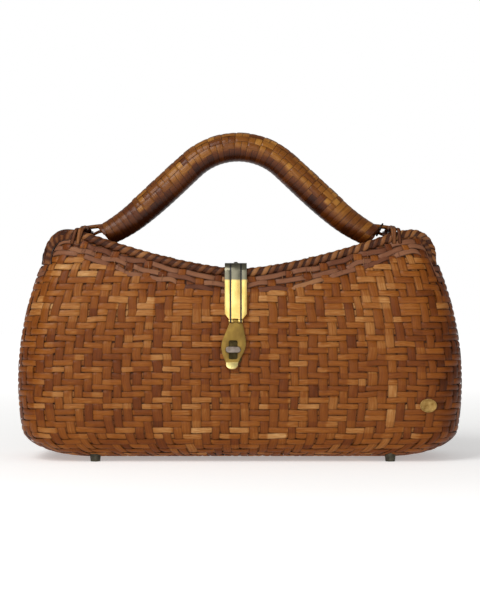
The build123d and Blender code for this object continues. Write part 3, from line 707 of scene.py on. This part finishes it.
def layStitches(u, v, k):
    place = k % stitchCount
    angle = stitch["start"] + stitch["sweep"] * u
    s = (place + 0.5) * outlineLength / stitchCount + stitchShift[k] + stitch["lean"] * (angle - 40) / 90
    s = s + v * stitch["width"] * stitchWidth[k] / 2
    # pressed flat along the top edge, proud on the outer face
    press = 1 - stitch["pressed"] * smooth(1.3 - np.abs(angle - 90) / 40)
    high = stitch["lift"] * press * smooth(np.minimum(u, 1 - u) * 8) + edgeFall(v, stitch["edgeDrop"])
    face = np.where(k < stitchCount, -1.0, 1.0)
    points, normal = rollPoint(np.clip(s, 0, outlineLength), angle, high, face)
    # painted shade underneath, where the stitches turn under the roll; darker at the left end and paler on
    # the right
    tone = 0.5 + stitchTone[k] - 0.2 * smooth(np.abs(angle - 70) / 90 - 0.6)
    tone = tone + 0.1 * smooth(points[:, 0] / 60) - 0.12 * smooth((-points[:, 0] - 88) / 30)
    return dict(points=points, normal=normal, tone=tone, along=u * 16)


def layRoll(u, v, k):
    points, normal = rollPoint(u * outlineLength, v * 180, -0.1, np.where(k == 0, -1.0, 1.0))
    tone = 0.3 - 0.14 * (np.abs(v - 0.5) > 0.3)
    return dict(points=points, normal=normal, tone=tone, along=u * outlineLength)


makeRibbons("rimRolls", 2, 200, 12, layRoll, stitchCane, "lid", weld=True)
stitches = makeRibbons("rimStitches", 2 * stitchCount, 12, 3, layStitches, stitchCane, "lid")
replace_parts(stitches, "lid_rim")


# a strip under the roll carries the lid's edge round each plan corner
cornerStrip = dict(count=4, length=50.0, inset=4.8, half=4.2, behind=0.7, solid=1.2)


def layLidCorners(u, v, k):
    run = u * cornerStrip["length"]
    s = np.where(k % 2 == 0, run, outlineLength - run)
    x, z, _, _ = outlineAt(s, cornerStrip["inset"] + v * cornerStrip["half"])
    face = np.where(k < 2, -1.0, 1.0)
    points = vectors(x, face * (edgeY(x, z) - cornerStrip["behind"]), z)
    normal = vectors(np.sign(x) * 0.5, face, 0.3)
    # the stitches' stripes go on across it
    tone = 0.36 + 0.2 * np.sin(2 * math.pi * s / stitch["pitch"] + 1.4 * v)
    return dict(points=points, normal=normal, tone=tone, along=s)


makeRibbons("lidCorners", cornerStrip["count"], 60, 4, layLidCorners, stitchCane, "lid",
            solid=cornerStrip["solid"])
print("rim:", 2 * stitchCount, "stitches")

# the handle: a helix of split cane over a bent core, with strips woven along its front, top and back
grip = dict(x=-1.5, bend=50.0, top=226.9, foot=162.4, end=94.0, midRadius=10.5, endRadius=8.7,
            leftReach=3.0, rightReach=5.4, flareLength=24.0, flareRate=0.0032, swell=1.0, sink=1.6,
            pitch=4.4, wrapShare=0.985, angles=(2.0, 31.5, 61.0, 90.5, 120.0, 149.5, 179.0),
            stripHalf=13.2, stripFree=30.0, over=0.55, dip=0.4, press=0.3, underShade=0.36, leftDark=0.13,
            coreGap=0.45, rings=64)
gripDrop = grip["top"] - grip["bend"] - grip["foot"]
gripAngle = math.atan2(gripDrop, grip["end"]) + math.asin(grip["bend"] / math.hypot(grip["end"], gripDrop))
gripLeg = (grip["end"] - grip["bend"] * math.sin(gripAngle)) / math.cos(gripAngle)
gripLength = 2 * gripLeg + 2 * grip["bend"] * gripAngle


def gripFrame(s):
    # place along the handle from its left foot: middle, direction, outward side and radius
    turn = np.clip((s - gripLeg) / grip["bend"] - gripAngle, -gripAngle, gripAngle)
    straight = np.where(s < gripLeg, s - gripLeg, np.maximum(s - (gripLength - gripLeg), 0))
    slim = np.clip(np.abs(straight) / gripLeg, 0, 1)
    # the legs are fuller half-way down and turn outwards at the feet
    reach = straight * (1 + np.where(straight < 0, grip["leftReach"], grip["rightReach"]) / gripLeg)
    x = grip["bend"] * np.sin(turn) + reach * np.cos(turn) + grip["x"]
    z = grip["top"] - grip["bend"] + grip["bend"] * np.cos(turn) - reach * np.sin(turn)
    flare = np.maximum(np.abs(reach) - (gripLeg - grip["flareLength"]), 0) ** 2 * grip["flareRate"]
    radius = grip["midRadius"] + (grip["endRadius"] - grip["midRadius"]) * slim
    radius = radius + grip["swell"] * np.sin(math.pi * slim)
    side = vectors(np.sin(turn), 0, np.cos(turn))
    middle = vectors(x, 0, z)
    outwards = flare - grip["sink"] * np.sin(math.pi * slim ** 1.3)
    return middle + side * outwards[:, None], side, radius


def gripPoint(s, angle, high):
    middle, side, radius = gripFrame(s)
    turn = np.radians(angle)[:, None]
    normal = np.array([[0.0, -1.0, 0.0]]) * np.cos(turn) + side * np.sin(turn)
    return middle + normal * (radius + high)[:, None], normal


turnCount = int(gripLength / grip["pitch"])
gripPitch = gripLength / turnCount
wrapTone = rng.normal(0, 0.08, turnCount + 2)
patchTone = rng.normal(0, 0.12, (turnCount + 4, len(grip["angles"])))


def stripOver(turn, j):
    # brick order: over two turns, under two
    return np.mod(turn + 2 * j, 4) < 2


def stripHere(turn):
    middle = turn * gripPitch
    return (middle > grip["stripFree"]) & (middle < gripLength - grip["stripFree"])


def layWrap(u, v, k):
    place = u * turnCount
    turn = np.minimum(np.floor(place).astype(int), turnCount - 1)
    angle = (place - turn) * 360
    s = place * gripPitch + v * gripPitch * grip["wrapShare"] / 2
    high = edgeFall(v, 0.16)
    tone = 0.46 + wrapTone[turn]
    for j, middle in enumerate(grip["angles"]):
        gap = np.abs(np.mod(angle - middle + 180, 360) - 180)
        near = smooth(1.5 - gap / grip["stripHalf"])
        bulge = np.where(stripOver(turn, j), -grip["press"], grip["dip"]) * stripHere(turn + 0.5)
        high = high + near * bulge
        tone = tone + near * np.where(bulge > 0, 0.14 + patchTone[turn, j], 0)
    # painted shade on the underside, which the light doesn't reach, and darker towards the left end
    tone = tone - grip["underShade"] * smooth((np.abs(np.mod(angle - 90 + 180, 360) - 180) - 84) / 50)
    points, normal = gripPoint(np.clip(s, 0, gripLength), angle, high)
    tone = tone - grip["leftDark"] * smooth((-points[:, 0] - 25) / 40)
    return dict(points=points, normal=normal, tone=tone, along=place * 60)


def layGripStrips(u, v, k):
    low, high = grip["stripFree"] - gripPitch, gripLength - grip["stripFree"] + gripPitch
    s = low + u * (high - low)
    middle = np.array(grip["angles"])[k]
    place = s / gripPitch - middle / 360
    turn = np.floor(place + 0.5).astype(int)
    share = place + 0.5 - turn
    behind, here, ahead = [np.where(stripOver(other, k) & stripHere(other + 0.5), 1.0, -1.0)
                           for other in (turn - 1, turn, turn + 1)]
    t = np.where(share > 0.5, smooth((share - 0.72) / 0.56), smooth((0.28 - share) / 0.56))
    lift = here * (1 - t) + np.where(share > 0.5, ahead, behind) * t
    high = lift * grip["over"] - 0.1 + edgeFall(v, 0.35)
    points, normal = gripPoint(s, middle + v * grip["stripHalf"], high)
    tone = 0.5 + 0.12 * np.sin(k * 2.4 + turn // 4 * 1.7)
    return dict(points=points, normal=normal, tone=tone, along=s)


def layGripBody(u, v, k):
    # the first and last rings close to a point
    ends = (u < 0.004) | (u > 0.996)
    s = np.clip((u * grip["rings"] - 1) / (grip["rings"] - 2), 0, 1) * (gripLength - 0.6) + 0.3
    points, normal = gripPoint(s, v * 180, -grip["coreGap"])
    middle, _, _ = gripFrame(s)
    points = np.where(ends[:, None], middle, points)
    return dict(points=points, normal=normal, tone=0.08, along=s)


wrap = makeRibbons("handleWrap", 1, turnCount * 36, 3, layWrap, gripCane, "handle")
makeRibbons("handleStrips", len(grip["angles"]), turnCount * 5, 3, layGripStrips, gripCane,
            "handle")
makeRibbons("handleBody", 1, grip["rings"], 20, layGripBody, gripCane, "handle", weld=True)
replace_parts(wrap, "handle_wrap")
print("handle:", turnCount, "turns")


# cane tongues run from the handle's ends to the shoulders, with a twisted strand under each
tongue = dict(start=94.0, length=22.5, top=169.6, fall=2.6, half=3.4, thick=1.5)
strand = dict(height=163.4, rise=1.2, waveZ=1.6, waveY=1.8, half=1.4, thick=1.2)


def layTongues(u, v, k):
    side = np.where(k % 2 == 0, -1.0, 1.0)
    low = k > 1
    x = grip["x"] + side * (tongue["start"] + u * tongue["length"])
    strandZ = strand["height"] + strand["waveZ"] * np.sin(u * 7) + u * strand["rise"]
    z = np.where(low, strandZ, tongue["top"] - tongue["fall"] * u ** 1.5)
    y = np.where(low, strand["waveY"] * np.sin(u * 9 + k), 0.0)
    ends = np.where((u < 0.001) | (u > 0.999), 0.0, 1.0)
    wide = np.where(low, strand["half"], tongue["half"]) * ends
    tall = np.where(low, strand["thick"], tongue["thick"]) * ends
    turn = v * math.pi
    normal = vectors(0, -np.cos(turn), np.sin(turn))
    points = vectors(x, y - np.cos(turn) * wide, z + np.sin(turn) * tall)
    return dict(points=points, normal=normal, tone=np.where(low, 0.24, 0.42), along=u * 24)


tongues = makeRibbons("handleTongues", 4, 24, 12, layTongues, gripCane, "handle", weld=True)
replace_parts(tongues, "handle_core")

# lashings: strips over each tongue and down over both rims
lashing = dict(x=111.5, strips=3, width=2.7, spread=2.2, offEdge=2.35, fall=16.0, pinch=0.35, solid=0.8)


def layLashing(u, v, k, side):
    # the route over the lid, seen from the end
    frontY = edgeY(lashing["x"], 160.0) + lashing["offEdge"]
    halfY = np.array([-frontY, -frontY - 0.3, -frontY + 0.6, -frontY + 3.5, -13.0, -4.5])
    halfZ = np.array([155.0, 160.0, 165.2, 166.8, 166.4, 169.3])
    routeY, routeZ = np.concatenate([halfY, -halfY[::-1]]), np.concatenate([halfZ, halfZ[::-1]])
    run = np.concatenate([[0], np.cumsum(np.hypot(np.diff(routeY), np.diff(routeZ)))])
    t = u * run[-1]
    y, z = np.interp(t, run, routeY), np.interp(t, run, routeZ)
    dy, dz = [np.interp(t + 0.8, run, way) - np.interp(t - 0.8, run, way) for way in (routeY, routeZ)]
    length = np.maximum(np.hypot(dy, dz), 1e-6)
    normalY, normalZ = -dz / length, dy / length
    # the strips slant outwards as they come down over each rim
    fall = np.clip(1 - np.minimum(t, run[-1] - t) / lashing["fall"], 0, 1)
    lean = side * (0.5 + (1.6 if side > 0 else 4.5) * fall - 2.0 * (k == 1) * fall)
    offset = (k - (lashing["strips"] - 1) / 2) * lashing["spread"]
    squeeze = 1 - lashing["pinch"] * np.exp(-((t - run[-1] / 2) / 9) ** 2)
    x = grip["x"] + side * lashing["x"] + offset * squeeze + lean + v * lashing["width"] / 2
    high = edgeFall(v, 0.35) + 0.3 * np.mod(k, 2) - 0.2
    points = vectors(x, y + normalY * high, z + normalZ * high)
    normal = vectors(0, normalY, normalZ)
    return dict(points=points, normal=normal, tone=0.48 + 0.15 * np.sin(k * 2.1 + side), along=t)


for sideName, side in (("left", -1), ("right", 1)):
    lash = makeRibbons(f"lashing_{sideName}", lashing["strips"], 60, 3,
                       lambda u, v, k, side=side: layLashing(u, v, k, side), stitchCane,
                       "lid", solid=lashing["solid"])
    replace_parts(lash, f"handle_lashing_{sideName}")


# a turn of waxed thread round the right tongue
thread = dict(x=102.6, height=166.4, halfX=2.2, halfY=4.2, halfZ=4.3, radius=0.55)


def threadMiddle(turn):
    return vectors(thread["x"] + thread["halfX"] * np.cos(turn), thread["halfY"] * np.sin(turn),
                   thread["height"] + thread["halfZ"] * np.cos(turn + 0.3))


def layThread(u, v, k):
    turn = 2 * math.pi * u
    middle = threadMiddle(turn)
    along = unit(threadMiddle(turn + 0.05) - middle)
    first = unit(np.cross(along, [0.3, 0.5, 0.8]))
    around = (v * math.pi)[:, None]
    normal = first * np.cos(around) + np.cross(along, first) * np.sin(around)
    return dict(points=middle + normal * thread["radius"], normal=normal, tone=0.5, along=u * 30)


makeRibbons("rightThread", 1, 48, 8, layThread, blackThread, "handle", weld=True)
print("lashings")

# broken cane ends that stand out along the front border, eight of them near the lashings
fray = dict(count=34, length=4.5, width=0.7, taper=0.7, lift=1.1, curl=1.2)
frayPlace = rng.random(fray["count"]) * stakes[0]
frayPlace[:8] = [4.2, 4.6, 5.0, 5.3, 33.2, 33.8, 6.4, 31.5]
frayDrop = rng.uniform(0.5, 9, fray["count"])
frayLean = rng.uniform(-0.35, 0.35, fray["count"])
frayLength = fray["length"] * rng.uniform(0.6, 1.4, fray["count"])


def layFrays(u, v, k):
    half = fray["width"] * (1 - fray["taper"] * u) / 2
    p = frayPlace[k] + frayLean[k] * u + v * half / stakePitch
    level = wallTop(frayPlace[k], 0.0) - frayDrop[k] - u * frayLength[k]
    base, normal = wallFrame(p, level)
    high = fray["lift"] + fray["curl"] * u * u + edgeFall(v, 0.15)
    return raised(base, normal, high, 0.55 + 0.2 * np.sin(k * 1.9), u * 5)


makeRibbons("borderFrays", fray["count"], 6, 2, layFrays, borderCane, "basket")
print("frays")


# merged copies of the metal parts with their edges eased
polish = dict(merge=0.002, flat=1.0, bevelFrom=32.0, sharpFrom=40.0)
for name, node, body, slot, material, width in (
        ("haspStrap", "hasp_strap", "lid", "aged_brass", strapBrass, 0.18),
        ("haspPlate", "hasp_plate", "hasp", "olive_brass", plateBrass, 0.16),
        ("lockPlate", "lock_plate", "basket", "olive_brass", lockBrass, 0.14),
        ("turnBar", "turn_bar", "turn", "turn_steel", turnSteel, 0.3),
        ("badgeOval", "badge", "basket", "aged_brass", badgeBrass, 0.16)):
    bm = bmesh.new()
    bm.from_mesh(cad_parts[node].data)
    bmesh.ops.remove_doubles(bm, verts=bm.verts, dist=polish["merge"] * mm)
    bmesh.ops.dissolve_limit(bm, angle_limit=math.radians(polish["flat"]), verts=bm.verts, edges=bm.edges)
    limit = math.radians(polish["bevelFrom"])
    sharp = [edge for edge in bm.edges if len(edge.link_faces) == 2 and edge.calc_face_angle(0) > limit]
    bmesh.ops.bevel(bm, geom=sharp, offset=width * mm, offset_type="OFFSET", segments=2, profile=0.5,
                    affect="EDGES", clamp_overlap=True, material=-1)
    bmesh.ops.triangulate(bm, faces=[face for face in bm.faces if len(face.verts) > 4])
    mesh = bpy.data.meshes.new(name)
    bm.to_mesh(mesh)
    bm.free()
    mesh.polygons.foreach_set("use_smooth", [True] * len(mesh.polygons))
    mesh.set_sharp_from_angle(angle=math.radians(polish["sharpFrom"]))
    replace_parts(addPiece(name, mesh, material, body), node)
plainParts = {
    "hasp_pin": plateBrass, "hinge_pin": plateBrass, "hasp_rivets": strapBrass, "lock_rivets": lockBrass,
    "hinge_lower": hingeBrass, "hinge_upper": hingeBrass, "hinge_rivets": hingeBrass, "foot": studMetal}
for start, material in plainParts.items():
    for node in [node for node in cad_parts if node.startswith(start)]:
        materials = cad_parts[node].data.materials
        if len(materials) == 0:
            materials.append(material)
        for i in range(len(materials)):
            materials[i] = material
print("metal parts")

studio = dict(ambient=0.3, key=13, front=5.5, fill=1.2, glowNear=0.36, glowFar=0.78, nearEnd=0.2, farEnd=1.3)
bm = bmesh.new()
bmesh.ops.create_grid(bm, x_segments=1, y_segments=1, size=4)
mesh = bpy.data.meshes.new("floor")
bm.to_mesh(mesh)
bm.free()
floor = bpy.data.objects.new("floor", mesh)
collection.objects.link(floor)
material, tree = newMaterial("palePaintedFloor")
# the floor glows, more with distance: painted light that keeps the far floor white and softens the shadow
# under the bag
place = addNode(tree, "ShaderNodeTexCoord")
far = addNode(tree, "ShaderNodeVectorMath", {0: place.outputs["Object"]}, operation="LENGTH")
glow = addNode(tree, "ShaderNodeMapRange", {
    "Value": far.outputs["Value"], "From Min": studio["nearEnd"], "From Max": studio["farEnd"],
    "To Min": studio["glowNear"], "To Max": studio["glowFar"]})
shader = addNode(tree, "ShaderNodeBsdfPrincipled", {
    "Base Color": hexColor("#f4f3f1"), "Roughness": 0.9,
    "Emission Color": hexColor("#ffffff"), "Emission Strength": glow.outputs[0]})
addNode(tree, "ShaderNodeOutputMaterial", {"Surface": shader.outputs[0]})
mesh.materials.append(material)
world = bpy.data.worlds.new("studio")
bpy.context.scene.world = world
world.use_nodes = True
tree = world.node_tree
tree.nodes.clear()
seen = addNode(tree, "ShaderNodeLightPath")
paper = addNode(tree, "ShaderNodeBackground", {"Color": (1, 1, 1, 1), "Strength": 1.0})
soft = addNode(tree, "ShaderNodeBackground", {"Color": (1, 1, 1, 1), "Strength": studio["ambient"]})
mixed = addNode(tree, "ShaderNodeMixShader", {
    0: seen.outputs["Is Camera Ray"], 1: soft.outputs[0], 2: paper.outputs[0]})
addNode(tree, "ShaderNodeOutputWorld", {"Surface": mixed.outputs[0]})
bpy.context.scene.view_settings.view_transform = "Standard"
for name, place, aim, size, power in (
        ("keyLight", (-0.7, -1.0, 1.1), (0, 0, 0.1), 0.8, studio["key"]),
        ("frontPanel", (-0.15, -1.7, 0.55), (0, 0, 0.12), 1.0, studio["front"]),
        ("fillLight", (0.9, -1.2, 0.5), (0, 0, 0.1), 0.9, studio["fill"])):
    data = bpy.data.lights.new(name, "AREA")
    data.size = size
    data.energy = power
    light = bpy.data.objects.new(name, data)
    light.location = place
    light.rotation_euler = (Vector(aim) - Vector(place)).to_track_quat("-Z", "Y").to_euler()
    collection.objects.link(light)
print("stage and lights")
